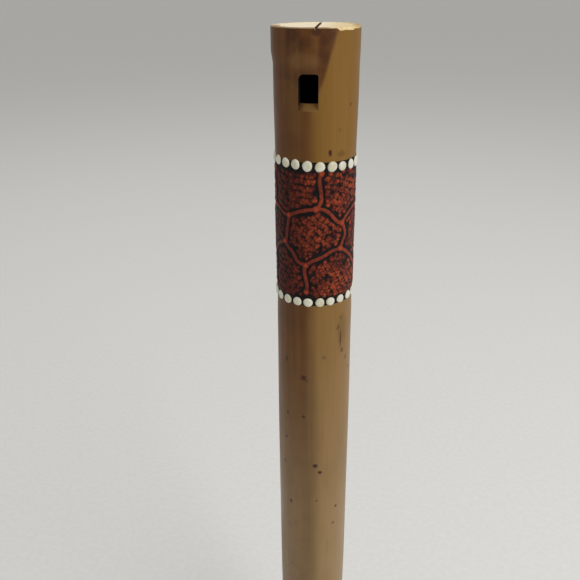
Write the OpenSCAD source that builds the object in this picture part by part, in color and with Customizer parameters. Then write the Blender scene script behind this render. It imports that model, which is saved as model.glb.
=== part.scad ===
// Bamboo slide whistle with a painted band, standing upright on its handle.
// +Z runs up the tube's axis, the sound window faces -Y, and the origin is
// the centre of the handle's flat end.

/* [Tube] */
// Outer diameter of the bamboo tube
tube_d = 25; // [22:0.5:30]
// Thickness of the bamboo wall
tube_wall = 2.2; // [2:0.1:3]
// Length of the tube
tube_len = 260; // [240:5:320]

/* [Sound window] */
// Width of the window round the tube
window_w = 5.5; // [4.6:0.1:7]
// Height of the window along the tube
window_h = 7.9; // [6:0.1:9]
// Distance from the mouth end down to the window
window_drop = 11.8; // [9:0.1:16]
// Radius of the window's two upper corners
window_corner = 1.1; // [0.4:0.1:1.8]
// Height of the bevel below the window
bevel_h = 1.8; // [1:0.1:3]

/* [Windway] */
// Depth of the flat channel cut in the block
windway_floor = 0.7; // [0.5:0.1:1.2]
// Depth of the shallow channel cut inside the tube wall
windway_ceiling = 0.4; // [0.2:0.1:0.6]

/* [Painted band] */
// Distance from the mouth end down to the upper row of dots
upper_row_drop = 37.2; // [30:0.2:50]
// Distance from the mouth end down to the lower row of dots
lower_row_drop = 81; // [70:0.5:100]
// Number of dots in each row
dot_count = 21; // [12:1:23]
// Diameter of a dot
dot_d = 3; // [2:0.1:3]
// Height that a dot stands above the black coat
dot_h = 0.6; // [0.3:0.1:1]
// Thickness of the black coat
coat_t = 0.45; // [0.45:0.05:0.6]
// Depth of bamboo skin scraped off under the coat
scrape_t = 0.25; // [0.2:0.05:0.3]

/* [Plunger] */
// Diameter of the plunger rod
rod_d = 8; // [6:0.5:10]
// Diameter of the handle
handle_d = 24; // [21:0.5:30]
// Length of the handle
handle_len = 40; // [30:1:60]
// Distance from the mouth end down to the piston, fully in
piston_drop = 60; // [50:1:80]
// Length of the guide ring in the tube's lower end
guide_len = 14; // [10:1:20]

/* [Hidden] */
$fn = 96;

tube_r = tube_d / 2;
bore_r = tube_r - tube_wall;
eps = 1;            // how far a cutter runs past the face it cuts

// heights along the axis
stop_gap = 0.3;     // gap between the handle and the tube, fully in
tube_z = handle_len + stop_gap;
top_z = tube_z + tube_len;
window_top = top_z - window_drop;
sill_z = window_top - window_h;
upper_row_z = top_z - upper_row_drop;
lower_row_z = top_z - lower_row_drop;
piston_top = top_z - piston_drop;

// piston stack, from the air column down
cap_r = bore_r - 1.8;
cap_t = 3;
washer_t = 2.4;
washer_play = 0.1;  // above and below the washer, so that it can turn
seal_gap = 0.05;    // between the washer and the bore
disc_r = bore_r - 0.3;
disc_t = 10;
cap_z = piston_top - cap_t;
washer_z = cap_z - washer_play - washer_t;
disc_z = washer_z - washer_play - disc_t;

// rod and its sockets
rod_r = rod_d / 2;
rod_socket = 7;     // depth of the rod's socket in the piston disc
rod_foot = 10;      // height of the rod's lower end above the handle's end
rod_top = disc_z + rod_socket;
guide_gap = 0.08;   // running clearance of the rod in the guide ring

// handle: a short bamboo sleeve round a wooden core
handle_r = handle_d / 2;
core_r = handle_r - tube_wall;

// nail and pegs
nail_r = 1;
nail_head_r = 2.4;
nail_head_t = 0.8;
nail_bite = 9;      // length of the nail in the end of the rod
handle_peg_r = 1.5;
guide_peg_r = 1.25;
guide_peg_len = 6;  // inwards from the tube's surface
guide_peg_z = tube_z + guide_len / 2;

glue_line = 0.02;   // radial room for glue round a plug
lip_r = bore_r + 0.5;
coat_edge = 1.4;    // height of the coat beyond the middle of a row of dots
coat_r = tube_r - scrape_t + coat_t;
coat_z = lower_row_z - coat_edge;
coat_h = upper_row_z - lower_row_z + 2 * coat_edge;
upper_phase = -1;   // turn of each row of dots from the window, in degrees
lower_phase = 0.5;

// A solid ring about the axis
module ring(outer_r, inner_r, z, h) {
    translate([0, 0, z])
        difference() {
            cylinder(r = outer_r, h = h);
            translate([0, 0, -eps])
                cylinder(r = inner_r, h = h + 2 * eps);
        }
}

// A cylinder that starts at x0 and lies along +X
module along_x(r, x0, h, z) {
    translate([x0, 0, z])
        rotate([0, 90, 0])
            cylinder(r = r, h = h);
}

// A peg along X from x0, trimmed flush with the round face that it ends in
module flush_peg(r, x0, z, face_r) {
    intersection() {
        along_x(r, x0, face_r + eps - x0, z);
        translate([0, 0, z - 2 * r])
            cylinder(r = face_r, h = 4 * r);
    }
}

// Window outline, in X and Z: square below, with two round upper corners
module window_outline() {
    half = window_w / 2;
    translate([-half, 0])
        square([window_w, window_h - window_corner]);
    translate([window_corner - half, 0])
        square([window_w - 2 * window_corner, window_h]);
    for (side = [-1, 1])
        translate([side * (half - window_corner), window_h - window_corner])
            circle(r = window_corner, $fn = 32);
}

module window_cut() {
    translate([0, -bore_r + 2 * eps, sill_z])
        rotate([90, 0, 0])
            linear_extrude(height = tube_wall + 4 * eps)
                window_outline();
}

// Bevel from the window's lip out and down to the tube's surface
module bevel_cut() {
    reach = tube_r + eps;
    fall = bevel_h * (reach - lip_r) / (tube_r - lip_r);
    translate([-window_w / 2, 0, sill_z])
        rotate([90, 0, 90])
            linear_extrude(height = window_w)
                polygon([[-lip_r, 0], [-reach, 0], [-reach, -fall]]);
}

module windway_cut(floor_r, ceiling_r) {
    translate([-window_w / 2, -ceiling_r, window_top - eps])
        cube([window_w, ceiling_r - floor_r, window_drop + 2 * eps]);
}

// Sites of the two guide pegs: front and back
module at_guide_pegs() {
    for (turn = [-90, 90])
        rotate([0, 0, turn])
            children();
}

// The cane is one piece of bamboo. It is two nodes, the plain tube and the
// head, which meet at the lower edge of the coat.
module tube() {
    color("burlywood")
        difference() {
            ring(tube_r, bore_r, tube_z, coat_z - tube_z);
            at_guide_pegs()
                along_x(guide_peg_r, bore_r - eps, tube_wall + 2 * eps, guide_peg_z);
        }
}

module head() {
    color("burlywood")
        difference() {
            ring(tube_r, bore_r, coat_z, top_z - coat_z);
            ring(tube_r + eps, tube_r - scrape_t, coat_z - eps, coat_h + eps);
            window_cut();
            bevel_cut();
            windway_cut(bore_r - eps, bore_r + windway_ceiling);
        }
}

module fipple_block() {
    color("wheat")
        difference() {
            translate([0, 0, window_top])
                cylinder(r = bore_r - glue_line, h = window_drop);
            windway_cut(bore_r - windway_floor, bore_r + eps);
        }
}

module guide_ring() {
    color("peru")
        difference() {
            ring(bore_r - glue_line, rod_r + guide_gap, tube_z, guide_len);
            at_guide_pegs()
                along_x(guide_peg_r, tube_r - guide_peg_len, guide_peg_len, guide_peg_z);
        }
}

module guide_pegs() {
    color("tan")
        at_guide_pegs()
            flush_peg(guide_peg_r, tube_r - guide_peg_len, guide_peg_z, tube_r);
}

module paint_band() {
    color("black")
        ring(coat_r, tube_r - scrape_t, coat_z, coat_h);
}

// A row of domed dots on the coat, the first one at the angle `phase`
module dot_row(z, phase) {
    dot_r = dot_d / 2;
    ball_r = (dot_r * dot_r + dot_h * dot_h) / (2 * dot_h);
    for (i = [0 : dot_count - 1])
        rotate([0, 0, phase + i * 360 / dot_count])
            difference() {
                translate([0, -(coat_r + dot_h - ball_r), z])
                    sphere(r = ball_r, $fn = 48);
                translate([0, 0, z - 2 * ball_r])
                    cylinder(r = coat_r, h = 4 * ball_r);
            }
}

module upper_dots() {
    color("ivory") dot_row(upper_row_z, upper_phase);
}

module lower_dots() {
    color("ivory") dot_row(lower_row_z, lower_phase);
}

module plunger_rod() {
    color("goldenrod")
        difference() {
            translate([0, 0, rod_foot])
                cylinder(r = rod_r, h = rod_top - rod_foot);
            translate([0, 0, rod_top - nail_bite])
                cylinder(r = nail_r, h = nail_bite + eps);
            handle_peg_cut();
        }
}

module handle_peg_cut() {
    along_x(handle_peg_r, -handle_r - eps, 2 * (handle_r + eps), handle_len / 2);
}

module handle_sleeve() {
    color("burlywood")
        difference() {
            ring(handle_r, core_r, 0, handle_len);
            handle_peg_cut();
        }
}

module handle_core() {
    color("wheat")
        difference() {
            cylinder(r = core_r - glue_line, h = handle_len);
            translate([0, 0, rod_foot])
                cylinder(r = rod_r, h = handle_len);
            handle_peg_cut();
        }
}

module handle_peg() {
    color("tan")
        flush_peg(handle_peg_r, -handle_r - eps, handle_len / 2, handle_r);
}

module piston_disc() {
    color("tan")
        difference() {
            translate([0, 0, disc_z])
                cylinder(r = disc_r, h = disc_t);
            translate([0, 0, disc_z - eps])
                cylinder(r = rod_r, h = rod_socket + eps);
            translate([0, 0, disc_z])
                cylinder(r = nail_r, h = disc_t + eps);
        }
}

module piston_washer() {
    color("saddlebrown")
        ring(bore_r - seal_gap, nail_r + washer_play, washer_z, washer_t);
}

module piston_cap() {
    color("tan")
        ring(cap_r, nail_r, cap_z, cap_t);
}

module piston_nail() {
    color("silver") {
        translate([0, 0, rod_top - nail_bite])
            cylinder(r = nail_r, h = piston_top + nail_head_t - rod_top + nail_bite);
        translate([0, 0, piston_top])
            cylinder(r = nail_head_r, h = nail_head_t);
    }
}

tube();
head();
fipple_block();
guide_ring();
guide_pegs();
paint_band();
upper_dots();
lower_dots();
plunger_rod();
handle_sleeve();
handle_core();
handle_peg();
piston_disc();
piston_washer();
piston_cap();
piston_nail();
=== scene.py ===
"""Looks of a hand-painted bamboo slide whistle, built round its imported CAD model.

Lengths are in metres, +Z runs up the tube and the sound window faces -Y. A "turn" is an angle in
degrees round the tube from the window towards +X, and a "drop" is a depth in millimetres below the
mouth end.
"""

import math
import random

import bmesh
import bpy
from mathutils import Matrix, Vector, kdtree, noise


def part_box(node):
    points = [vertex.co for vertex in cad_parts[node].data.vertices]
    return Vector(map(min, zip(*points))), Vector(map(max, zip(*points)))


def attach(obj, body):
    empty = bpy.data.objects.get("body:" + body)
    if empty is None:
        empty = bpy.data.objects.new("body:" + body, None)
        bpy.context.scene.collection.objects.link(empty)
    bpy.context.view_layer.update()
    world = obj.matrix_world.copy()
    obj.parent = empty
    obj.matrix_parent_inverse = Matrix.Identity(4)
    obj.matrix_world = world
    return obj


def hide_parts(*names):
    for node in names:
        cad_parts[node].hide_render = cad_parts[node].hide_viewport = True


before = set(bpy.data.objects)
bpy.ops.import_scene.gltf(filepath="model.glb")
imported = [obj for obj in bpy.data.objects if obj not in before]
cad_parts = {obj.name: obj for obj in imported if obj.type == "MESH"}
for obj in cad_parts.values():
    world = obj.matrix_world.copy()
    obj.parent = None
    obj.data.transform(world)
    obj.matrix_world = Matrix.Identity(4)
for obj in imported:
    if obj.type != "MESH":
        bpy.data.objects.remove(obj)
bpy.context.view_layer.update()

MM = 0.001


# ---------------------------------------------------------------- sizes, from the frame

def foot_of(node):
    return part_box(node)[0].z


def top_of(node):
    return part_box(node)[1].z


def half_width(node):
    low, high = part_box(node)
    return (high.x - low.x) / 2


def middle_height(node):
    return (top_of(node) + foot_of(node)) / 2


TUBE_FOOT = foot_of("tube")
TOP = top_of("head")
TUBE_R = half_width("tube")
GLUE_LINE = 0.02 * MM
BLOCK_R = half_width("fipple_block")
BORE_R = BLOCK_R + GLUE_LINE
WALL = TUBE_R - BORE_R
COAT_R = half_width("paint_band")
COAT_LOW = foot_of("paint_band")
COAT_HIGH = top_of("paint_band")
WAIST = 0.15 * MM                # how much slimmer the cane grew under the band
SEAT_R = TUBE_R - WAIST
COAT_FACE = SEAT_R + 0.05 * MM   # the brushed surface, nearly flush with the cane
UPPER_ROW = middle_height("upper_dots")
LOWER_ROW = middle_height("lower_dots")
HANDLE_R = half_width("handle_sleeve")
HANDLE_TOP = top_of("handle_sleeve")
CORE_R = half_width("handle_core")
ROD_R = half_width("plunger_rod")
ROD_LOW = foot_of("plunger_rod")
ROD_HIGH = top_of("plunger_rod")

WINDOW_HALF = 2.75 * MM
WINDOW_TOP = foot_of("fipple_block")
WINDOW_HEIGHT = 7.9 * MM
WINDOW_CORNER = 1.1 * MM
LEFT_CORNER = 1.45 * MM    # the window's upper corners are hand-cut and unlike
RIGHT_CORNER = 0.75 * MM
BEVEL_HEIGHT = 1.8 * MM
LIP = 0.5 * MM             # thickness of the wall's edge at the top of the bevel
SILL = WINDOW_TOP - WINDOW_HEIGHT
CEILING = 0.4 * MM         # depth of the windway in the tube's wall
FLOOR_CUT = 0.7 * MM       # depth of the windway in the block

DOT_COUNT = 21
DOT_R = 1.5 * MM
DOT_HEIGHT = 0.6 * MM
LINE_WIDTH = 1.3 * MM
LINE_HEIGHT = 0.24 * MM
SUNK = 0.15 * MM                     # how far a blob of paint reaches into the coat
GIRTH = 2 * math.pi * COAT_R / MM    # once round the band, in mm


# ---------------------------------------------------------------- geometry helpers

def at_angle(angle, z, radius):
    """The point at that height and radius, at that angle in radians from the window."""
    return Vector((radius * math.sin(angle), -radius * math.cos(angle), z))


def on_tube(turn, z, radius):
    """The same with a turn in degrees."""
    return at_angle(math.radians(turn), z, radius)


def step(x, low, high):
    """0 below low, 1 above high, smooth between."""
    t = min(1.0, max(0.0, (x - low) / (high - low)))
    return t * t * (3 - 2 * t)


def between(x, low, high, soft):
    """1 from low to high, fading out over soft on each side."""
    return step(x, low - soft, low) * (1 - step(x, high, high + soft))


def growth(angle, z):
    """How much thicker than a straight tube the cane grew, at that angle and height."""
    drop = (TOP - z) / MM
    # the mouth end flares, most on its left side
    flare = (0.13 + 0.4 * max(0.0, -math.sin(angle)) ** 2) * MM * (1 - step(drop, 6, 10.5))
    waist = WAIST * step(drop, 18, 35) * (1 - step(drop, 83, 90))
    lower = 0.32 * MM * step(drop, 85, 142) * (1 - step(drop, 205, 245))
    return flare - waist + lower


def waver(x, y, z, size):
    """Smooth noise from about -1 to 1 that changes over that size."""
    return noise.noise(Vector((x, y, z)) / size)


def skin_waver(angle, z, radius, size):
    """The same noise on a round surface of that radius."""
    return noise.noise(at_angle(angle, z, radius) / size)


def ring_waver(turn, seed, bumps):
    """Noise round a circle: about that many bumps in a full turn."""
    angle = math.radians(turn)
    reach = bumps / 6
    return noise.noise(Vector((math.sin(angle) * reach, math.cos(angle) * reach, seed)))


def close_rings(faces, first, count, rings):
    """Joins rings of count vertices each, numbered on from first, into quads."""
    for ring in range(rings - 1):
        low = first + ring * count
        for i in range(count):
            j = (i + 1) % count
            faces.append((low + i, low + j, low + count + j, low + count + i))


def cap_rings(faces, first, count, rings):
    """Closes the first and the last of those rings with a flat face."""
    for start in (first, first + count * (rings - 1)):
        faces.append(tuple(range(start, start + count)))


def join_ends(faces, count, rings):
    """Joins the last ring back to the first, for a hollow piece."""
    last = count * (rings - 1)
    for i in range(count):
        j = (i + 1) % count
        faces.append((last + i, i, j, last + j))


def new_mesh(name, verts, faces, marks=None):
    """A closed mesh with its faces turned outwards. marks holds each face's material number."""
    mesh = bpy.data.meshes.new(name)
    mesh.from_pydata([tuple(v) for v in verts], [], faces)
    if marks:
        mesh.polygons.foreach_set("material_index", marks)
    shell = bmesh.new()
    shell.from_mesh(mesh)
    bmesh.ops.recalc_face_normals(shell, faces=shell.faces)
    shell.to_mesh(mesh)
    shell.free()
    return mesh


def show(data):
    """Puts an object with that mesh, light or camera in the scene."""
    thing = bpy.data.objects.new(data.name, data)
    bpy.context.scene.collection.objects.link(thing)
    return thing


def make_piece(name, verts, faces, materials, marks=None):
    piece = show(new_mesh(name, verts, faces, marks))
    for material in materials:
        piece.data.materials.append(material)
    return piece


def settle(piece, sharp_degrees, body, slot, *replaced):
    """Smooths the piece up to its sharp edges, and says what it rides on and replaces. The slot, what it is
    made of, is not used.
    """
    piece.data.shade_smooth()
    piece.data.set_sharp_from_angle(angle=math.radians(sharp_degrees))
    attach(piece, body)
    if replaced:
        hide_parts(*replaced)


def apply_modifiers(piece):
    graph = bpy.context.evaluated_depsgraph_get()
    mesh = bpy.data.meshes.new_from_object(piece.evaluated_get(graph))
    piece.modifiers.clear()
    old = piece.data
    piece.data = mesh
    bpy.data.meshes.remove(old)


def cut(piece, cutter):
    """Takes the cutter's shape out of the piece. The cut faces get the cutter's material."""
    modifier = piece.modifiers.new("cut", "BOOLEAN")
    modifier.operation = "DIFFERENCE"
    modifier.solver = "EXACT"
    modifier.material_mode = "TRANSFER"
    modifier.object = cutter
    apply_modifiers(piece)


def discard(piece):
    mesh = piece.data
    bpy.data.objects.remove(piece)
    bpy.data.meshes.remove(mesh)


# ---------------------------------------------------------------- material helpers

def srgb(red, green, blue):
    """A colour given in 0 to 255, as the linear RGBA that a socket holds."""
    def linear(value):
        value /= 255
        return value / 12.92 if value <= 0.04045 else ((value + 0.055) / 1.055) ** 2.4
    return (linear(red), linear(green), linear(blue), 1.0)


class Paint:
    """A material's node tree, built by short calls. Each call returns an output socket."""

    def __init__(self, name, roughness=0.5, coat=0.0, coat_roughness=0.3, specular=0.5, metallic=0.0):
        self.material = bpy.data.materials.new(name)
        self.material.use_nodes = True
        self.tree = self.material.node_tree
        self.tree.nodes.clear()
        output = self.tree.nodes.new("ShaderNodeOutputMaterial")
        self.shader = self.tree.nodes.new("ShaderNodeBsdfPrincipled")
        self.tree.links.new(self.shader.outputs[0], output.inputs["Surface"])
        self.place = self.tree.nodes.new("ShaderNodeTexCoord").outputs["Object"]
        self.set("Roughness", roughness)
        self.set("Metallic", metallic)
        self.set("Coat Weight", coat)
        self.set("Coat Roughness", coat_roughness)
        self.set("Specular IOR Level", specular)

    def put(self, socket, value):
        if isinstance(value, bpy.types.NodeSocket):
            self.tree.links.new(value, socket)
        else:
            socket.default_value = value

    def set(self, name, value):
        self.put(self.shader.inputs[name], value)

    def math(self, operation, a, b=0.0):
        node = self.tree.nodes.new("ShaderNodeMath")
        node.operation = operation
        self.put(node.inputs[0], a)
        self.put(node.inputs[1], b)
        return node.outputs[0]

    def add(self, a, b):
        return self.math("ADD", a, b)

    def minus(self, a, b):
        return self.math("SUBTRACT", a, b)

    def larger(self, a, b):
        return self.math("MAXIMUM", a, b)

    def times(self, product, *factors):
        for factor in factors:
            product = self.math("MULTIPLY", product, factor)
        return product

    def vector(self, operation, a, b=(0, 0, 0)):
        node = self.tree.nodes.new("ShaderNodeVectorMath")
        node.operation = operation
        self.put(node.inputs[0], a)
        self.put(node.inputs[1], b)
        return node.outputs["Value" if operation == "LENGTH" else "Vector"]

    def split(self, vector):
        node = self.tree.nodes.new("ShaderNodeSeparateXYZ")
        self.put(node.inputs[0], vector)
        return node.outputs

    def pattern(self, kind, where, size, stretch):
        """A texture whose features have that size in metres, longer where stretch is larger."""
        node = self.tree.nodes.new(kind)
        scale = tuple(1 / s for s in stretch)
        self.put(node.inputs["Vector"], self.vector("MULTIPLY", where, scale))
        node.inputs["Scale"].default_value = 1 / size
        return node

    def noise(self, size, stretch=(1, 1, 1), detail=2.0, output="Fac"):
        """Noise from 0 to 1."""
        node = self.pattern("ShaderNodeTexNoise", self.place, size, stretch)
        node.inputs["Detail"].default_value = detail
        return node.outputs[output]

    def cells(self, size, stretch=(1, 1, 1), where=None):
        """Distance from the nearest of scattered points, in units of size, and a colour per point."""
        node = self.pattern("ShaderNodeTexVoronoi", where or self.place, size, stretch)
        return node.outputs["Distance"], node.outputs["Color"]

    def ramp(self, value, low, high, start=0.0, end=1.0):
        """start at low, end at high, smooth between."""
        node = self.tree.nodes.new("ShaderNodeMapRange")
        node.interpolation_type = "SMOOTHSTEP"
        for name, number in zip(("From Min", "From Max", "To Min", "To Max"), (low, high, start, end)):
            self.put(node.inputs[name], number)
        self.put(node.inputs["Value"], value)
        return node.outputs["Result"]

    def hill(self, value, foot, crest, edge, end, height=1.0):
        """0 up to foot, height from crest to edge, and 0 again from end on."""
        return self.times(self.ramp(value, foot, crest, 0.0, height), self.ramp(value, edge, end, 1.0, 0.0))

    def mix(self, share, a, b):
        node = self.tree.nodes.new("ShaderNodeMix")
        node.data_type = "RGBA"
        self.put(node.inputs["Factor"], share)
        self.put(node.inputs[6], a)
        self.put(node.inputs[7], b)
        return node.outputs[2]

    def tint(self, colour, other, value, low, high, share=1.0):
        """The colour, with more of the other as value goes from low to high, up to that share."""
        return self.mix(self.ramp(value, low, high, 0.0, share), colour, other)

    def bump(self, height, depth, strength=1.0):
        """Relief of that depth in metres, on top of any relief set before."""
        node = self.tree.nodes.new("ShaderNodeBump")
        node.inputs["Strength"].default_value = strength
        node.inputs["Distance"].default_value = depth
        self.put(node.inputs["Height"], height)
        if self.shader.inputs["Normal"].links:
            self.put(node.inputs["Normal"], self.shader.inputs["Normal"].links[0].from_socket)
        self.put(self.shader.inputs["Normal"], node.outputs["Normal"])


def turn_of(paint):
    """The turn round the tube, in degrees from -180 to 180."""
    x, y, z = paint.split(paint.place)
    angle = paint.math("ARCTAN2", x, paint.times(y, -1.0))
    return paint.times(angle, 180 / math.pi)


def drop_of(paint):
    """The drop below the mouth end, in millimetres."""
    z = paint.split(paint.place)[2]
    return paint.times(paint.minus(TOP, z), 1 / MM)


def reach_of(paint, place):
    """The distance of place from the axis through (0, 0), in metres."""
    x, y, z = paint.split(place)
    return paint.math("SQRT", paint.add(paint.times(x, x), paint.times(y, y)))


# ---------------------------------------------------------------- materials

# Marks on the bamboo's skin: turn and drop, width and height in mm, and how dark
FLECKS = (
    (-22, 1.8, 5.5, 4.5, 0.5),
    (-2, 3.4, 4.5, 3.5, 0.3),
    (10, 1.0, 3.4, 2.4, 0.7),
    (30, 33.4, 1.3, 2.3, 1.0),
    (48, 34.0, 3.6, 2.2, 0.35),
    (-30, 31.0, 10.0, 9.0, 0.15),
    (44, 27.0, 1.3, 1.3, 0.3),
    (62, 20.4, 1.3, 1.3, 0.5),
    (-46, 96.0, 1.4, 1.4, 0.6),
    (-37, 104.0, 1.3, 2.6, 0.8),
    (-6, 109.5, 2.4, 2.4, 0.85),
    (-1, 110.6, 1.3, 1.4, 0.5),
    (25, 101.5, 1.9, 1.8, 0.35),
    (54, 88.0, 1.6, 1.8, 0.45),
    (49, 91.3, 1.8, 2.4, 0.5),
    (54, 95.6, 1.1, 8.5, 0.75),
    (58, 100.5, 1.5, 2.2, 0.65),
    (67, 104.0, 1.8, 2.0, 0.5),
    (77, 109.0, 1.8, 2.0, 0.5),
    (57, 93.0, 5.0, 14.0, 0.2),
    (-28, 86.0, 15.0, 16.0, 0.2),
    (-35, 126.0, 1.4, 1.4, 0.8),
    (-6, 125.5, 1.4, 1.4, 0.9),
    (-39, 137.0, 1.4, 1.6, 0.9),
    (-59, 144.5, 1.3, 1.3, 0.6),
    (-44, 148.5, 1.5, 1.5, 0.8),
    (-24, 149.5, 0.9, 0.9, 0.3),
    (13, 146.8, 2.2, 2.0, 1.0),
    (21, 149.9, 1.8, 1.8, 1.0),
    (-30, 166.2, 1.5, 2.3, 0.9),
    (16, 163.3, 1.4, 1.4, 0.5),
    (52, 168.5, 1.5, 1.6, 0.85),
    (47, 176.5, 1.3, 1.3, 0.9),
    (4, 183.0, 0.9, 0.9, 0.3),
    (-29, 199.0, 1.1, 1.1, 0.4),
)


def soft_mark(paint, place, turn, drop, width, height, share):
    """A soft oval on the skin, of that width and height in mm."""
    z = TOP - drop * MM
    centre = on_tube(turn, z, TUBE_R + growth(math.radians(turn), z))
    away = paint.vector("SUBTRACT", place, tuple(centre))
    away = paint.vector("MULTIPLY", away, (1, 1, width / height))
    return paint.ramp(paint.vector("LENGTH", away), 0.2 * width * MM, 0.6 * width * MM, share, 0.0)


def flecks(paint):
    """Darkness of the marks listed in FLECKS, with ragged edges."""
    size = 0.7 * MM
    ragged = paint.noise(size, detail=1, output="Color")
    ragged = paint.vector("SUBTRACT", ragged, (0.5, 0.5, 0.5))
    place = paint.vector("ADD", paint.place, paint.vector("MULTIPLY", ragged, (size, size, size)))
    total = 0.0
    for mark in FLECKS:
        total = paint.larger(total, soft_mark(paint, place, *mark))
    return total


def stray_flecks(paint, size, share):
    """Darkness of small specks scattered at random."""
    distance, colour = paint.cells(size, stretch=(1, 1, 1.5))
    chosen = paint.math("GREATER_THAN", paint.split(colour)[0], 1 - share)
    return paint.times(paint.ramp(distance, 0.05, 0.13, 1.0, 0.0), chosen)


def past_stain(paint, turn, drop, mottle):
    """How far a point lies to the right of the browner side's edge, in degrees.

    The edge runs a little right of the window, and swings right at the top.
    """
    swing = paint.larger(paint.add(paint.times(drop, -1.47), 36.0), 5.5)
    swing = paint.add(swing, paint.ramp(drop, 85, 150, 1.0, 7.0))
    wobble = paint.times(paint.minus(mottle, 0.5), 12.0)
    return paint.minus(paint.add(turn, wobble), swing)


def tan_share(paint, turn, drop, past):
    """1 on the tan side, 0 on the browner side. The edge is sharp above the window."""
    softness = paint.add(paint.ramp(drop, 14, 26, 3.4, 13.0), paint.ramp(drop, 85, 130, 0.0, 6.0))
    share = paint.ramp(paint.math("DIVIDE", past, softness), -1.0, 1.0)
    share = paint.times(share, paint.ramp(turn, 110, 165, 1.0, 0.45))
    return paint.larger(share, paint.ramp(turn, -150, -95, 0.45, 0.0))


def stain(paint, colour, drop, past, brownness):
    """The stain on the browner side: soft dark clouds, most of them at the mouth end."""
    depth = paint.ramp(drop, 2, 30, 1.0, 0.15)
    clouds = paint.ramp(paint.noise(5 * MM, detail=3), 0.4, 0.68, 0.0, 0.75)
    rust = paint.ramp(paint.noise(6 * MM, stretch=(1, 1, 1.5), detail=2), 0.5, 0.72, 0.0, 0.4)
    colour = paint.mix(paint.times(brownness, depth, rust), colour, srgb(104, 48, 18))
    # low down, a broad shade lies along the edge
    shade = paint.times(paint.hill(past, -30, -10, -8, 14), paint.ramp(drop, 80, 120, 0.0, 0.4))
    colour = paint.mix(shade, colour, srgb(88, 68, 38))
    # near the window the stain dried darkest along its edge
    tide = paint.times(paint.hill(past, -7, -1.5, -1, 2.5), paint.ramp(drop, 14, 20, 0.4, 0.0))
    dark = paint.larger(paint.times(brownness, depth, clouds), tide)
    colour = paint.mix(dark, colour, srgb(64, 33, 14))
    # above the window it has worn thin
    worn = soft_mark(paint, paint.place, -8, 8.4, 11.0, 5.5, 0.3)
    return paint.mix(worn, colour, srgb(132, 98, 60))


def bamboo_skin(name, stained):
    """Grown bamboo, either with the tan and brown sides and marks of the tube or plain."""
    paint = Paint(name, coat=0.08, coat_roughness=0.3, specular=0.18)
    turn = turn_of(paint)
    drop = drop_of(paint)
    fibres = paint.noise(0.42 * MM, stretch=(1, 1, 60), detail=3)
    streaks = paint.noise(2.6 * MM, stretch=(1, 1, 40), detail=2)
    mottle = paint.noise(9 * MM, stretch=(1, 1, 3), detail=3)
    # painted light: brown and tan both grow lighter towards the foot, standing in for light thrown up from
    # the pale floor
    brown = paint.tint(srgb(98, 58, 20), srgb(130, 100, 62), drop, 85, 180)
    painted_bounce_light = paint.add(paint.ramp(drop, 50, 125, 0.0, 0.55), paint.ramp(drop, 115, 200, 0.0, 0.35))
    tan = paint.mix(painted_bounce_light, srgb(128, 91, 36), srgb(149, 120, 79))
    if stained:
        past = past_stain(paint, turn, drop, mottle)
        lighter = tan_share(paint, turn, drop, past)
        colour = paint.mix(lighter, brown, tan)
        colour = stain(paint, colour, drop, past, paint.minus(1.0, lighter))
    else:
        colour = paint.tint(brown, tan, streaks, 0.3, 0.7)
    colour = paint.tint(colour, srgb(104, 84, 40), mottle, 0.45, 0.8, 0.3)
    colour = paint.tint(colour, srgb(158, 124, 76), streaks, 0.45, 0.8, 0.14)
    colour = paint.tint(colour, srgb(84, 56, 26), fibres, 0.45, 0.8, 0.16)
    if stained:
        # the lower part has a little more gloss, which shows along its sides
        paint.set("Coat Weight", paint.ramp(drop, 90, 170, 0.08, 0.3))
        colour = paint.mix(flecks(paint), colour, srgb(56, 26, 13))
        # the marks in view are listed, and those on the back are scattered
        behind = paint.math("GREATER_THAN", paint.math("ABSOLUTE", turn), 92.0)
        stray = paint.times(stray_flecks(paint, 7 * MM, 0.35), behind)
    else:
        stray = stray_flecks(paint, 6 * MM, 0.3)
    paint.set("Base Color", paint.mix(stray, colour, srgb(52, 30, 18)))
    paint.set("Roughness", paint.ramp(mottle, 0.3, 0.7, 0.36, 0.5))
    paint.bump(fibres, 0.03 * MM, 0.35)
    paint.bump(mottle, 0.25 * MM, 0.3)
    return paint.material


def sunned(paint, colour):
    """The mouth end has yellowed to the right of the crack."""
    x = paint.split(paint.place)[0]
    return paint.tint(colour, srgb(222, 193, 134), x, 0.5 * MM, 8 * MM, 0.7)


def cut_bamboo(name, pale, dark, bundles=0.55, stained=False):
    """A sawn end: pale, with the brown ends of the fibre bundles."""
    paint = Paint(name, roughness=0.72, specular=0.3)
    flat = paint.vector("MULTIPLY", paint.place, (1, 1, 0))
    distance = paint.cells(0.5 * MM, where=flat)[0]
    grain = paint.noise(1.2 * MM, detail=4)
    saw = paint.noise(0.35 * MM, stretch=(9, 1, 1), detail=2)
    colour = paint.tint(pale, dark, grain, 0.3, 0.75)
    colour = paint.mix(paint.ramp(distance, 0.18, 0.34, bundles, 0.0), colour, srgb(150, 112, 66))
    if stained:
        colour = sunned(paint, colour)
        # the stain has soaked in from the skin, all along the front and less at the right
        turn = turn_of(paint)
        sides = paint.add(paint.hill(turn, -105, -60, 18, 34), paint.hill(turn, 60, 85, 120, 150, 0.6))
        ragged = paint.times(paint.minus(grain, 0.5), 1.6 * MM)
        reach = paint.add(paint.vector("LENGTH", flat), ragged)
        soaked = paint.ramp(reach, TUBE_R - 2.4 * MM, TUBE_R - MM, 0.0, 0.85)
        colour = paint.mix(paint.times(soaked, sides), colour, srgb(128, 94, 58))
    paint.set("Base Color", colour)
    paint.bump(saw, 0.06 * MM, 0.5)
    paint.bump(distance, 0.03 * MM, 0.3)
    return paint.material


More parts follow.
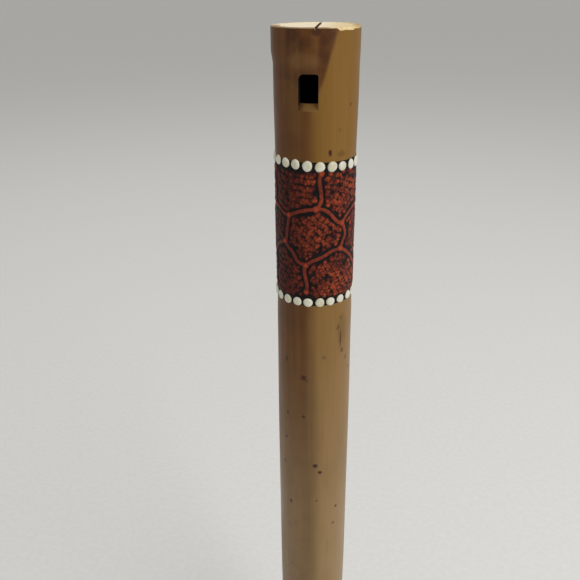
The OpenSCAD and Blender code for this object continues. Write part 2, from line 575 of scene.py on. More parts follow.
def pared_bamboo(name):
    """The bevel below the window: stained like the skin beside it, darkest at its left end from the stain
    and painted shade, and lighter at its right end from painted light.
    """
    paint = Paint(name, roughness=0.7, specular=0.2)
    x = paint.split(paint.place)[0]
    grain = paint.noise(0.5 * MM, stretch=(1, 1, 12), detail=3)
    # painted shade, along with the stain: darker towards the left end
    colour = paint.tint(srgb(84, 54, 26), srgb(118, 86, 43), x, -2.7 * MM, -0.6 * MM)
    # painted light: lighter at the right end, where the window's side wall would shade it
    colour = paint.tint(colour, srgb(134, 99, 50), x, 1.6 * MM, 2.6 * MM)
    paint.set("Base Color", paint.tint(colour, srgb(84, 56, 28), grain, 0.4, 0.75, 0.2))
    paint.bump(grain, 0.04 * MM, 0.4)
    return paint.material


def char_and_crack_shadow(name, colour, edge):
    """Bamboo burnt by a hot iron; the same kind of dark colour also serves as the painted shadow inside the
    crack.
    """
    paint = Paint(name, roughness=0.85, specular=0.2)
    soot_and_shade = paint.noise(1.5 * MM, stretch=(1, 1, 3), detail=4)
    paint.set("Base Color", paint.tint(colour, edge, soot_and_shade, 0.35, 0.8))
    paint.bump(soot_and_shade, 0.15 * MM, 0.5)
    return paint.material


def wood(name, pale, dark, ring=1.3 * MM, contrast=0.6, centre=(0.03, 0.01, 0), old=False):
    """Wood grown round an axis outside the piece: rings across the ends, long grain down the sides."""
    paint = Paint(name, roughness=0.6, specular=0.35)
    reach = reach_of(paint, paint.vector("SUBTRACT", paint.place, centre))
    warp = paint.noise(6 * MM, stretch=(1, 1, 8), detail=2)
    phase = paint.add(paint.times(reach, 1 / ring), paint.times(warp, 2.2))
    rings = paint.ramp(paint.math("FRACT", phase), 0.0, 0.85)
    pores = paint.noise(0.25 * MM, stretch=(1, 1, 30), detail=3)
    colour = paint.mix(paint.times(rings, contrast), pale, dark)
    colour = paint.tint(colour, dark, pores, 0.5, 0.75, 0.45)
    paint.set("Base Color", sunned(paint, colour) if old else colour)
    paint.bump(pores, 0.05 * MM, 0.4)
    paint.bump(rings, 0.03 * MM, 0.3)
    return paint.material


def split_bamboo(name, pale, dark):
    """Scraped bamboo without its skin: straight fibres, each a slightly different colour."""
    paint = Paint(name, roughness=0.5, coat=0.1, coat_roughness=0.4, specular=0.4)
    fibres = paint.noise(0.3 * MM, stretch=(1, 1, 90), detail=3)
    bands = paint.noise(1.6 * MM, stretch=(1, 1, 50), detail=2)
    patches = paint.noise(14 * MM, detail=2)
    colour = paint.tint(pale, dark, bands, 0.3, 0.7)
    colour = paint.tint(colour, srgb(120, 86, 48), fibres, 0.45, 0.75, 0.5)
    paint.set("Base Color", paint.tint(colour, srgb(150, 118, 76), patches, 0.5, 0.8, 0.3))
    paint.bump(fibres, 0.05 * MM, 0.5)
    return paint.material


def waxed_leather(name):
    paint = Paint(name, roughness=0.5, specular=0.4)
    distance = paint.cells(0.45 * MM)[0]
    wear = paint.noise(2.5 * MM, detail=3)
    colour = paint.tint(srgb(92, 56, 32), srgb(134, 88, 52), wear, 0.3, 0.7)
    paint.set("Base Color", paint.tint(colour, srgb(60, 34, 20), distance, 0.3, 0.6, 0.4))
    paint.bump(distance, 0.06 * MM, 0.6)
    return paint.material


def wire_steel(name):
    paint = Paint(name, metallic=1.0, roughness=0.38)
    scratches = paint.noise(0.15 * MM, stretch=(1, 1, 12), detail=2)
    tarnish = paint.noise(1.4 * MM, detail=3)
    paint.set("Base Color", paint.tint(srgb(178, 176, 170), srgb(120, 108, 92), tarnish, 0.4, 0.8))
    paint.set("Roughness", paint.ramp(tarnish, 0.3, 0.8, 0.3, 0.55))
    paint.bump(scratches, 0.02 * MM, 0.3)
    return paint.material


def black_paint(name):
    paint = Paint(name, specular=0.15)
    brush = paint.noise(0.45 * MM, stretch=(7, 7, 1), detail=3)
    wear = paint.noise(2.2 * MM, detail=3)
    paint.set("Base Color", paint.tint(srgb(12, 10, 10), srgb(26, 20, 19), wear, 0.4, 0.75))
    paint.set("Roughness", paint.ramp(brush, 0.3, 0.7, 0.5, 0.68))
    paint.bump(brush, 0.05 * MM, 0.5)
    return paint.material


def red_paint(name, thin, thick, full_height):
    """Red over black: darker where the paint is thin, brighter where it stands high."""
    paint = Paint(name, specular=0.13, roughness=0.5)
    height = paint.minus(reach_of(paint, paint.place), COAT_FACE)
    patches = paint.noise(5.5 * MM, detail=2)
    grain = paint.noise(0.9 * MM, detail=2)
    patches_and_side_light = paint.ramp(paint.add(paint.times(patches, 0.5), paint.times(grain, 0.5)), 0.38, 0.64)
    # painted light: the paint is brighter towards +X, where the window light falls, on top of its real
    # patches
    x = paint.split(paint.place)[0]
    patches_and_side_light = paint.times(patches_and_side_light, paint.ramp(x, -9 * MM, 8 * MM, 0.1, 1.3))
    colour = paint.mix(patches_and_side_light, thin, thick)
    colour = paint.tint(srgb(36, 13, 10), colour, height, 0.02 * MM, full_height)
    # it is thickest and brightest where lines meet
    colour = paint.tint(colour, srgb(156, 61, 33), height, 0.98 * LINE_HEIGHT, 1.2 * LINE_HEIGHT)
    paint.set("Base Color", colour)
    paint.bump(paint.noise(0.3 * MM, detail=2), 0.04 * MM, 0.5)
    return paint.material


def white_paint(name):
    paint = Paint(name, coat=0.25, coat_roughness=0.35, specular=0.45, roughness=0.45)
    age = paint.noise(3.2 * MM, detail=2)
    grime = paint.noise(0.7 * MM, detail=3)
    colour = paint.tint(srgb(222, 220, 206), srgb(206, 200, 172), age, 0.35, 0.7)
    paint.set("Base Color", paint.tint(colour, srgb(160, 150, 128), grime, 0.5, 0.8, 0.25))
    paint.bump(grime, 0.05 * MM, 0.3)
    return paint.material


SKIN = bamboo_skin("bamboo_skin", stained=True)
HANDLE_SKIN = bamboo_skin("handle_skin", stained=False)
CUT = cut_bamboo("sawn_bamboo", srgb(246, 231, 199), srgb(216, 190, 144), bundles=0.3, stained=True)
FOOT_CUT = cut_bamboo("sawn_handle", srgb(214, 184, 134), srgb(188, 152, 102), bundles=0.7)
BEVEL = pared_bamboo("pared_bamboo")
CHARRED = char_and_crack_shadow("charred_bamboo", srgb(12, 8, 6), srgb(22, 15, 11))
BLOCK_WOOD = wood(
    "block_wood", srgb(247, 232, 202), srgb(222, 199, 156), ring=1.6 * MM, contrast=0.3, old=True
)
# painted shadow: the crack's walls are coloured as the shade inside the narrow crack
CRACK = char_and_crack_shadow("crack_shadow", srgb(76, 52, 34), srgb(108, 78, 50))
GUIDE_WOOD = wood("guide_wood", srgb(186, 142, 92), srgb(136, 94, 54))
CORE_WOOD = wood("core_wood", srgb(214, 180, 128), srgb(170, 128, 80), centre=(-0.02, 0.015, 0))
PISTON_WOOD = wood("piston_wood", srgb(206, 170, 118), srgb(158, 116, 70), centre=(0.015, -0.02, 0))
ROD_BAMBOO = split_bamboo("rod_bamboo", srgb(216, 180, 122), srgb(192, 152, 96))
PEG_BAMBOO = split_bamboo("peg_bamboo", srgb(176, 138, 88), srgb(138, 102, 60))
LEATHER = waxed_leather("washer_leather")
STEEL = wire_steel("nail_steel")
BLACK = black_paint("black_coat")
RED_LINE = red_paint("red_line_paint", srgb(98, 36, 26), srgb(134, 54, 33), 0.8 * LINE_HEIGHT)
RED_DOT = red_paint("red_dot_paint", srgb(80, 26, 18), srgb(152, 64, 34), 0.19 * MM)
WHITE = white_paint("white_dot_paint")


# ---------------------------------------------------------------- tube

WINDOW_SIDE = (1.65, 1.95, 2.28, 2.55, 2.75)    # mm from the middle, close together at the corners
BESIDE_WINDOW = 0.05 * MM
WALL_COLUMNS = 168


def tube_columns():
    """The tube's columns of vertices, as ("window", offset) or ("wall", share of the way round)."""
    side = [offset * MM for offset in WINDOW_SIDE]
    inner = [side[0] * k / 5 for k in range(-3, 4)]
    offsets = [-x for x in reversed(side)] + inner + side
    offsets = [offsets[0] - BESIDE_WINDOW] + offsets + [offsets[-1] + BESIDE_WINDOW]
    walls = [("wall", k / WALL_COLUMNS) for k in range(1, WALL_COLUMNS)]
    return [("window", offset) for offset in offsets] + walls


def column_angle(column, radius):
    kind, value = column
    if kind == "window":
        return math.asin(value / radius)
    edge = math.asin((WINDOW_HALF + BESIDE_WINDOW) / radius)
    return edge + value * 2 * (math.pi - edge)


def spaced(low, high, spacing):
    """Evenly spaced heights from low up to just under high."""
    count = max(1, round((high - low) / spacing))
    return [low + (high - low) * k / count for k in range(count)]


def rim_chip(turn):
    """How much of the rim's outer edge is broken off there, from 0 to 1."""
    torn = between(turn, 41, 62, 6) + 0.55 * between(turn, 68, 84, 8)
    torn *= 0.85 + 0.4 * ring_waver(turn, 3.1, 60)
    nick = 0.45 * between(turn, -142, -128, 6) + 0.35 * between(turn, 150, 158, 5)
    return torn + nick


def rim_drop(turn):
    """How far the skin's edge stops short of the mouth end."""
    ragged = 0.5 + 0.5 * ring_waver(turn, 1.7, 90)
    return (0.12 + 0.14 * ragged + 0.75 * rim_chip(turn)) * MM


def rim_inset(turn):
    """How far in the flat of the mouth end starts."""
    ragged = 0.5 + 0.5 * ring_waver(turn, 7.7, 110)
    return (0.1 + 0.1 * ragged + 0.7 * rim_chip(turn)) * MM


def skin_radius(angle, z, radius):
    """The bamboo's surface, slightly out of round."""
    uneven = 0.07 * MM * skin_waver(angle, z * 0.35, radius, 9 * MM) - 0.03 * MM
    return radius + uneven + growth(angle, z)


class TubeMesh:
    """A grid of vertices inside and outside, joined round both ends and through the window."""

    def __init__(self):
        self.columns = tube_columns()
        self.count = len(self.columns)
        window = [i for i, (kind, value) in enumerate(self.columns) if kind == "window"]
        self.left, self.right = window[1], window[-2]    # the outermost two stand beside it
        below = spaced(TUBE_FOOT + 0.3 * MM, COAT_LOW, 2.2 * MM)
        below += spaced(COAT_LOW, COAT_HIGH, 3 * MM)
        below += spaced(COAT_HIGH, SILL - BEVEL_HEIGHT, 0.7 * MM)
        beside = spaced(SILL - BEVEL_HEIGHT, WINDOW_TOP - WINDOW_CORNER, 0.5 * MM)
        beside += spaced(WINDOW_TOP - WINDOW_CORNER, WINDOW_TOP, 0.22 * MM)
        above = spaced(WINDOW_TOP, TOP - 0.1 * MM, 0.5 * MM) + [TOP - 0.1 * MM]
        self.heights = below + beside + above
        self.bottom = len(below)
        self.top = len(below) + len(beside)
        self.verts, self.faces, self.marks = [], [], []
        self.outside = self.grid(self.outer_point)
        self.inside = self.grid(self.inner_point)

    def ring(self, points):
        """Adds a ring of vertices and returns their numbers."""
        first = len(self.verts)
        self.verts.extend(points)
        return list(range(first, len(self.verts)))

    def grid(self, point):
        return [
            self.ring(point(i, j) for i in range(self.count))
            for j in range(len(self.heights))
        ]

    def quad(self, corners, mark):
        self.faces.append(corners)
        self.marks.append(mark)

    def outer_point(self, i, j):
        z = self.heights[j]
        angle = column_angle(self.columns[i], TUBE_R)
        near_rim = TOP - 2.5 * MM
        if z > near_rim:
            edge = TOP - rim_drop(math.degrees(angle))
            z = near_rim + (z - near_rim) * (edge - near_rim) / (self.heights[-1] - near_rim)
        return at_angle(angle, z, skin_radius(angle, z, TUBE_R))

    def inner_height(self, j):
        """The bore's height for that row: the sill stands above the foot of the bevel."""
        z = self.heights[j]
        foot = SILL - BEVEL_HEIGHT
        if j >= self.bottom:
            return z + BEVEL_HEIGHT * max(0.0, (WINDOW_TOP - z) / (WINDOW_TOP - foot))
        return z + BEVEL_HEIGHT * max(0.0, 1 - (foot - z) / (8 * MM))

    def inner_point(self, i, j):
        kind, value = self.columns[i]
        angle = column_angle(self.columns[i], BORE_R)
        z = self.inner_height(j)
        if self.left <= i <= self.right and j >= self.top:
            return Vector((value, -BORE_R - CEILING, z))
        return at_angle(angle, z, BORE_R)

    def in_window(self, i, j):
        return self.left <= i < self.right and self.bottom <= j < self.top

    def make_walls(self):
        for j in range(len(self.heights) - 1):
            for i in range(self.count):
                k = (i + 1) % self.count
                if self.in_window(i, j):
                    continue
                for rows, mark in ((self.outside, "skin"), (self.inside, "bore")):
                    self.quad((rows[j][i], rows[j][k], rows[j + 1][k], rows[j + 1][i]), mark)

    def bridge(self, rings, mark):
        """Joins closed rings of vertices one to the next."""
        for low, high in zip(rings, rings[1:]):
            for i in range(len(low)):
                k = (i + 1) % len(low)
                self.quad((low[i], low[k], high[k], high[i]), mark)

    def make_mouth_end(self):
        """The sawn face at the mouth end, with its ragged and chipped outer edge."""
        rubbed = 0.02 * MM

        def rim_place(i, share):
            """The turn of column i, and its place that share of the way in to the flat."""
            outer = self.verts[self.outside[-1][i]]
            turn = math.degrees(math.atan2(outer.x, -outer.y))
            place = outer.to_2d().to_3d()
            return turn, place - place.normalized() * rim_inset(turn) * share

        def broken_point(i):
            turn, place = rim_place(i, 0.6)
            rough = 1 + 0.35 * ring_waver(turn, 5.5, 130)
            place.z = TOP - rubbed - (rim_drop(turn) - rubbed) * 0.62 * rough
            return place

        def flat_point(i, share, drop):
            inner = self.verts[self.inside[-1][i]]
            place = rim_place(i, 1.0)[1].lerp(inner.to_2d().to_3d(), share)
            place.z = TOP - drop
            return place

        rings = [self.outside[-1], self.ring(broken_point(i) for i in range(self.count))]
        for share, drop in ((0.0, rubbed), (0.3, 0.0), (0.9, 0.0)):
            rings.append(self.ring(flat_point(i, share, drop) for i in range(self.count)))
        rings.append(self.inside[-1])
        self.bridge(rings, "cut")

    def make_foot(self):
        """The sawn face at the lower end, with its edges rubbed round."""
        rings = [self.outside[0]]
        for radius, height in (
            (TUBE_R - 0.1 * MM, 0.1 * MM), (TUBE_R - 0.3 * MM, 0.0),
            (BORE_R + 0.3 * MM, 0.0), (BORE_R + 0.08 * MM, 0.1 * MM),
        ):
            angles = [column_angle(column, radius) for column in self.columns]
            rings.append(self.ring(at_angle(angle, TUBE_FOOT + height, radius) for angle in angles))
        rings.append(self.inside[0])
        self.bridge(rings, "foot")

    def outline(self):
        """The window's edge as (column, row), once round from its lower left corner."""
        left, right, bottom, top = self.left, self.right, self.bottom, self.top
        edge = [(i, bottom) for i in range(left, right)]
        edge += [(right, j) for j in range(bottom, top)]
        edge += [(i, top) for i in range(right, left, -1)]
        edge += [(left, j) for j in range(top, bottom, -1)]
        return edge

    def corner_arc(self, x, z):
        """(x, z) moved onto the round corner, and how much it belongs to the top edge."""
        side = math.copysign(1.0, x)
        across = abs(x) - (WINDOW_HALF - WINDOW_CORNER)
        up = z - (WINDOW_TOP - WINDOW_CORNER)
        if up >= WINDOW_CORNER * 0.999:
            lean = 90 - 45 * max(0.0, across) / WINDOW_CORNER
        elif up > -0.001 * WINDOW_CORNER:
            lean = 45 * max(0.0, up) / WINDOW_CORNER
        else:
            return x, z, 0.0
        if across < -0.001 * WINDOW_CORNER:
            return x, z, 1.0
        bend = math.radians(lean)
        corner = LEFT_CORNER if x < 0 else RIGHT_CORNER
        x = side * (WINDOW_HALF - corner + corner * math.cos(bend))
        z = WINDOW_TOP - corner + corner * math.sin(bend)
        return x, z, lean / 90

    def make_window(self):
        """The window's walls, in rings from the skin to the bore."""
        edge = self.outline()
        flat = [self.corner_arc(self.columns[i][1], self.heights[j]) for i, j in edge]
        normals = []
        for k in range(len(flat)):
            before, after = flat[k - 1], flat[(k + 1) % len(flat)]
            along = Vector((after[0] - before[0], after[1] - before[1])).normalized()
            normals.append(Vector((along.y, -along.x)))
        lip_depth = (WALL - LIP) / WALL

        def ring_points(depth, worn):
            """The ring at that share of the wall's depth, with its edge worn back that far."""
            bevel = BEVEL_HEIGHT * max(0.0, 1 - depth / lip_depth)
            squeeze = (WINDOW_HEIGHT + bevel) / (WINDOW_HEIGHT + BEVEL_HEIGHT)
            points = []
            for (x, z, of_top), normal in zip(flat, normals):
                z = WINDOW_TOP - (WINDOW_TOP - z) * squeeze
                x, z = x + normal.x * worn, z + normal.y * worn
                outer = -math.sqrt(TUBE_R ** 2 - x ** 2)
                bore = -math.sqrt(BORE_R ** 2 - x ** 2)
                inner = bore + (-BORE_R - CEILING - bore) * of_top
                points.append(Vector((x, outer + (inner - outer) * depth, z)))
            return points

        for (i, j), place in zip(edge, ring_points(0.0, 0.09 * MM)):
            self.verts[self.outside[j][i]] = place
        for (i, j), place in zip(edge, ring_points(1.0, 0.0)):
            self.verts[self.inside[j][i]] = place
        rings = [[self.outside[j][i] for i, j in edge]]
        depths = (0.015, 0.05, 0.3, 0.55, lip_depth, 0.9)
        for depth in depths:
            rings.append(self.ring(ring_points(depth, 0.03 * MM if depth < 0.05 else 0.0)))
        rings.append([self.inside[j][i] for i, j in edge])
        lip_ring = 1 + depths.index(lip_depth)
        across = self.right - self.left
        for level, (low, high) in enumerate(zip(rings, rings[1:])):
            for i in range(len(edge)):
                k = (i + 1) % len(edge)
                beside = i >= across and self.verts[high[i]].z < SILL + 0.2 * MM
                mark = "bevel" if level < lip_ring and (i < across or beside) else "bore"
                self.quad((low[i], low[k], high[k], high[i]), mark)

    def build(self):
        self.make_walls()
        self.make_mouth_end()
        self.make_foot()
        self.make_window()
        materials = {"skin": SKIN, "cut": CUT, "bore": CHARRED, "bevel": BEVEL, "foot": FOOT_CUT}
        order = list(materials)
        marks = [order.index(mark) for mark in self.marks]
        return make_piece("bamboo_tube", self.verts, self.faces, materials.values(), marks)


# The drying crack across the mouth end, from the front rim to the back: x and y in mm
CRACK_PATH = (
    (2.2, -14), (1.7, -11), (1.5, -8), (1.1, -5), (0.9, -2),
    (0.6, 1), (0.3, 4), (-0.2, 8), (-0.4, 11), (-1.0, 14),
)


def crack_cutter():
    """A wavy wedge to cut out along CRACK_PATH, deeper in the block than in the tube's wall."""
    verts, faces, places = [], [], []
    pieces = 8
    for (x0, y0), (x1, y1) in zip(CRACK_PATH, CRACK_PATH[1:]):
        places += [(x0 + (x1 - x0) * k / pieces, y0 + (y1 - y0) * k / pieces) for k in range(pieces)]
    places.append(CRACK_PATH[-1])
    for x, y in places:
        wide = 0.5 + 0.3 * step(-y, 7, 12.5) + 0.12 * waver(x, y, 0, 1.1)
        middle = x + 0.12 * waver(x, y, 5, 0.7)
        deep = 0.8 + 1.2 * (1 - step(abs(y), 6, 11)) + 0.3 * waver(x, y, 9, 2)
        above, below = TOP / MM + 0.3, TOP / MM - deep
        for across, z in ((-wide, above), (wide, above), (0.04, below), (-0.04, below)):
            verts.append(Vector((middle + across, y, z)) * MM)
    close_rings(faces, 0, 4, len(places))
    cap_rings(faces, 0, 4, len(places))
    return make_piece("crack_cutter", verts, faces, [CRACK])


def make_tube(cutter):
    """The cane, with the crack cut out of its mouth end."""
    tube = TubeMesh().build()
    cut(tube, cutter)
    settle(tube, 46, "tube", "bamboo_tube", "tube", "head")


def turned_solid(name, profile, materials, sides=128, wobble=None, hollow=False):
    """A solid of revolution from (radius, height, material number) points.

    The points run from the axis to the axis, or once round the wall of a hollow piece.
    """
    verts, faces, marks = [], [], []
    for radius, z, mark in profile:
        for i in range(sides):
            angle = 2 * math.pi * i / sides
            verts.append(at_angle(angle, z, radius + (wobble(angle, z, radius) if wobble else 0.0)))
    close_rings(faces, 0, sides, len(profile))
    for radius, z, mark in profile[1:]:
        marks += [mark] * sides
    first_mark, last_mark = profile[0][2], profile[-1][2]
    if hollow:
        join_ends(faces, sides, len(profile))
        marks += [first_mark] * sides
    else:
        cap_rings(faces, 0, sides, len(profile))
        marks += [first_mark, last_mark]
    return make_piece(name, verts, faces, materials, marks)


def make_box(name, low, high, material):
    verts = [(x, y, z) for x in (low[0], high[0]) for y in (low[1], high[1]) for z in (low[2], high[2])]
    faces = [(0, 1, 3, 2), (4, 6, 7, 5), (0, 4, 5, 1), (2, 3, 7, 6), (0, 2, 6, 4), (1, 5, 7, 3)]
    return make_piece(name, verts, faces, [material])


def make_block(cutter):
    """The block in the mouth end, with its windway and the same crack."""
    edge = 0.12 * MM
    face = TOP - 0.04 * MM
    profile = [
        (BLOCK_R - edge, WINDOW_TOP, 0),
        (BLOCK_R, WINDOW_TOP + edge, 0),
        (BLOCK_R, face - edge, 0),
        (BLOCK_R - edge, face, 0),
        (BLOCK_R * 0.6, face + 0.02 * MM, 0),
    ]
    block = turned_solid("whistle_block", profile, [BLOCK_WOOD])
    low = (-WINDOW_HALF, -2 * TUBE_R, WINDOW_TOP - MM)
    high = (WINDOW_HALF, -BORE_R + FLOOR_CUT, TOP + MM)
    windway = make_box("windway_cutter", low, high, BLOCK_WOOD)
    cut(block, windway)
    discard(windway)
    cut(block, cutter)
    settle(block, 30, "tube", "block_wood", "fipple_block")


# ---------------------------------------------------------------- painted band

# The red lines between the cells: (turn, drop) points, joined at shared ends
CELL_LINES = (
    ((18, 39.2), (15.5, 41), (16.5, 43), (18.5, 47), (14.5, 49.2), (11, 50)),
    (
        (-29, 52.6), (-19, 51.6), (-10, 50.8), (2, 50.2), (11, 50),
        (21, 50.2), (30, 51.4), (38, 53.4), (45, 54.8), (51, 55.2),
    ),
    ((-29, 52.6), (-31, 55), (-33, 57.5), (-34, 59.8), (-37, 61.4)),
    ((-37, 61.4), (-32, 62.9), (-26, 63.8), (-20, 65.5), (-15, 67.2), (-3, 68.2)),
    ((51, 55.2), (59, 53.2), (70, 51.7), (84, 50.9), (104, 50.5)),
    ((51, 55.2), (56, 57.4), (57, 59.5), (53, 61.2), (49, 63.3)),
    ((49, 63.3), (34, 63.8), (24, 65), (14, 66), (5, 66.9), (-3, 68.2)),
    ((49, 63.3), (60, 64.9), (71, 67), (81, 69.5), (90, 71)),
    ((-3, 68.2), (-5, 70), (-3, 72.7), (-1, 75.2), (-2, 77.3)),
    ((104, 50.5), (107, 46), (105, 42.5), (107, 39.3)),
    ((104, 50.5), (115, 51.4), (124, 53.4), (131, 54.2)),
    ((131, 54.2), (134, 57), (133, 61), (128, 64.5)),
    ((90, 71), (101, 69.4), (114, 67.2), (128, 64.5)),
    ((90, 71), (93, 74), (91, 77.2)),
    ((131, 54.2), (143, 52), (153, 51.3), (166, 50)),
    ((166, 50), (164, 46), (167, 42.5), (164, 39.3)),
    ((166, 50), (181, 50.6), (193, 52.4), (205, 55)),
    ((205, 55), (210, 58), (208, 61), (201, 63.6)),
    ((128, 64.5), (140, 66.5), (151, 68.4), (162, 69.6)),
    ((162, 69.6), (164, 73), (161, 77.2)),
    ((162, 69.6), (175, 68), (188, 65.5), (201, 63.6)),
    ((205, 55), (216, 52.6), (229, 51), (243, 50.4)),
    ((243, 50.4), (246, 46.5), (243, 43), (245, 39.3)),
    ((243, 50.4), (257, 51), (269, 53), (280, 54)),
    ((201, 63.6), (212, 65.4), (224, 68.8), (236, 70.4)),
    ((236, 70.4), (234, 74), (237, 77.2)),
    ((236, 70.4), (250, 69), (264, 66), (277, 63.8)),
    ((280, 54), (284, 57), (283, 60.5), (277, 63.8)),
    ((280, 54), (289, 52), (298, 50.6)),
    ((298, 50.6), (300, 46.5), (297, 43), (299, 39.3)),
    ((298, 50.6), (309, 51), (320, 52.4), (331, 52.6)),
    ((277, 63.8), (286, 66), (294, 66.4)),
    ((294, 66.4), (303, 64), (313, 62.4), (323, 61.4)),
    ((294, 66.4), (297, 70.5), (294, 74), (296, 77.2)),
)

# Middles of the cells, and which way the rows of small dots lean in each: turn, drop, degrees
CELL_ROWS = (
    (-20, 45, 4), (58, 45, 20), (135, 45, -12), (205, 45, 8), (270, 45, -25), (318, 45, 30),
    (10, 58, 38), (92, 60, -20), (168, 60, 25), (242, 60, -8), (306, 57, 50),
    (-28, 73, -55), (42, 73, 60), (126, 72, 15), (199, 72, -35), (266, 72, 42), (315, 72, 5),
)


def round_mm(turn):
    """That turn as a distance round the band, in mm."""
    return math.radians(turn) * COAT_R / MM


def smooth_path(points, spacing=0.25):
    """Points along a smooth curve through (turn, drop) points, as distances in mm round and down."""
    flat = [Vector((round_mm(turn), drop)) for turn, drop in points]
    flat = [flat[0] * 2 - flat[1]] + flat + [flat[-1] * 2 - flat[-2]]
    path = []
    for a, b, c, d in zip(flat, flat[1:], flat[2:], flat[3:]):
        count = max(2, round((c - b).length / spacing))
        for k in range(count):
            t = k / count
            bend = (2 * a - 5 * b + 4 * c - d) * t ** 2 + (3 * b - a - 3 * c + d) * t ** 3
            path.append(0.5 * (2 * b + (c - a) * t + bend))
    path.append(flat[-2])
    return path


def on_coat(across, drop, height):
    """A point that far round and down in mm, and that high above the coat in metres."""
    turn = math.degrees(across * MM / COAT_R)
    return on_tube(turn, TOP - drop * MM, COAT_FACE + height)


def add_line(verts, faces, path, width, height):
    """A rounded ridge of paint along the path, with round ends. The width is in mm."""
    steps = 8
    first = len(verts)
    length = sum((b - a).length for a, b in zip(path, path[1:]))
    run = 0.0
    for k, place in enumerate(path):
        before, after = path[max(0, k - 1)], path[min(len(path) - 1, k + 1)]
        along = (after - before).normalized()
        across = Vector((along.y, -along.x))
        run += (place - path[k - 1]).length if k else 0.0
        near_end = min(run, length - run) / (0.5 * width)
        full = math.sqrt(max(0.04, 1 - (1 - min(1.0, near_end)) ** 2))
        uneven = 1 + 0.13 * waver(place.x, place.y, 2, 2.2)
        half = 0.5 * width * full * uneven
        for s in range(steps + 1):
            bend = math.pi * s / steps
            side = place - across * half * math.cos(bend)
            rise = height * (0.35 + 0.65 * full) * math.sin(bend) ** 0.8 if 0 < s < steps else 0.0
            verts.append(on_coat(side.x, side.y, rise))
        for side in (1, -1):
            low = place + across * half * side
            verts.append(on_coat(low.x, low.y, -SUNK))
    close_rings(faces, first, steps + 3, len(path))
    cap_rings(faces, first, steps + 3, len(path))


def add_blob(
    verts, faces, place, size, height, sides, rings, lean=0, stretch=1, dimple=0, seed=0, slope=0.55
):
    """A domed drop of paint of radius size in mm. A larger slope gives it a softer skirt."""
    first = len(verts)
    cosine, sine = math.cos(math.radians(lean)), math.sin(math.radians(lean))
    for ring in range(1, rings + 2):
        share = min(1.0, ring / rings)
        for s in range(sides):
            bend = 2 * math.pi * s / sides
            uneven = 1 + 0.025 * math.sin(2 * bend + seed) + 0.02 * math.sin(3 * bend + 2 * seed)
            along = share * size * stretch * uneven * math.cos(bend)
            across = share * size * uneven * math.sin(bend)
            x = place[0] + along * cosine - across * sine
            y = place[1] + along * sine + across * cosine
            rise = height * (1 - share ** 2) ** slope * (1 - dimple * math.exp(-(share / 0.3) ** 2))
            verts.append(on_coat(x, y, -SUNK if ring > rings else rise))
    close_rings(faces, first, sides, rings + 1)
    crown = len(verts)
    verts.append(on_coat(place[0], place[1], height * (1 - dimple)))
    faces.extend((crown, first + (s + 1) % sides, first + s) for s in range(sides))
    last = first + sides * rings
    faces.append(tuple(range(last, last + sides)))


def coat_edge(turn, seed):
    """How far the brushed edge of the coat wanders."""
    return 0.16 * MM * ring_waver(turn, seed, 26) + 0.05 * MM * ring_waver(turn, seed + 4, 90)


def make_coat():
    """The black coat: a thin skin that follows the tube, with thin wandering edges."""
    sides, rows = 300, 56
    verts, faces = [], []
    inset = 0.25 * MM    # room for the edges to wander
    edge = [SEAT_R - 0.2 * MM, SEAT_R - 0.06 * MM, SEAT_R + 0.01 * MM]
    rings = [(0.0, radius) for radius in edge]
    rings += [((k + 0.5) / rows, None) for k in range(rows)]
    rings += [(1.0, radius) for radius in reversed(edge)]
    for share, radius in rings:
        for i in range(sides):
            turn = 360 * i / sides
            bottom = COAT_LOW + inset + coat_edge(turn, 2.0)
            top = COAT_HIGH - inset + coat_edge(turn, 9.0)
            z = bottom + (top - bottom) * share
            brushed = COAT_FACE + 0.02 * MM * skin_waver(math.radians(turn), z, COAT_R, 1.5 * MM)
            verts.append(on_tube(turn, z, radius or brushed))
    close_rings(faces, 0, sides, len(rings))
    join_ends(faces, sides, len(rings))
    coat = make_piece("black_coat", verts, faces, [BLACK])
    settle(coat, 50, "tube", "black_paint", "paint_band")


def make_lines():
    """The red lines, with a thicker knot of paint wherever one ends, all run together."""
    verts, faces = [], []
    knots = set()
    for line in CELL_LINES:
        add_line(verts, faces, smooth_path(line), LINE_WIDTH / MM, LINE_HEIGHT)
        knots.update((line[0], line[-1]))
    for turn, drop in sorted(knots):
        add_blob(verts, faces, (round_mm(turn), drop), 1.15, LINE_HEIGHT * 1.3, 20, 6, seed=turn)
    lines = make_piece("red_lines", verts, faces, [RED_LINE])
    fuse = lines.modifiers.new("fuse", "REMESH")
    fuse.mode = "VOXEL"
    fuse.voxel_size = 0.13 * MM
    relax = lines.modifiers.new("relax", "SMOOTH")
    relax.iterations = 4
    apply_modifiers(lines)
    settle(lines, 80, "tube", "red_paint")


def line_finder():
    """Finds how far a point is from the nearest red line."""
    places = [on_coat(p.x, p.y, 0.0) for line in CELL_LINES for p in smooth_path(line)]
    finder = kdtree.KDTree(len(places))
    for k, place in enumerate(places):
        finder.insert(place, k)
    finder.balance()
    return finder


def cell_of(place):
    """The cell that the point is in: the one in CELL_ROWS with the nearest middle."""
    def distance(cell):
        turn, drop, lean = cell
        across = (place.x - round_mm(turn) + GIRTH / 2) % GIRTH - GIRTH / 2
        return math.hypot(across, place.y - drop)
    return min(CELL_ROWS, key=distance)


DOT_PITCH = 1.0     # mm from one small dot to the next along its row
ROW_PITCH = 0.98    # mm from one row of small dots to the next
PAIRED = 0.13       # mm by which the rows stand closer in pairs


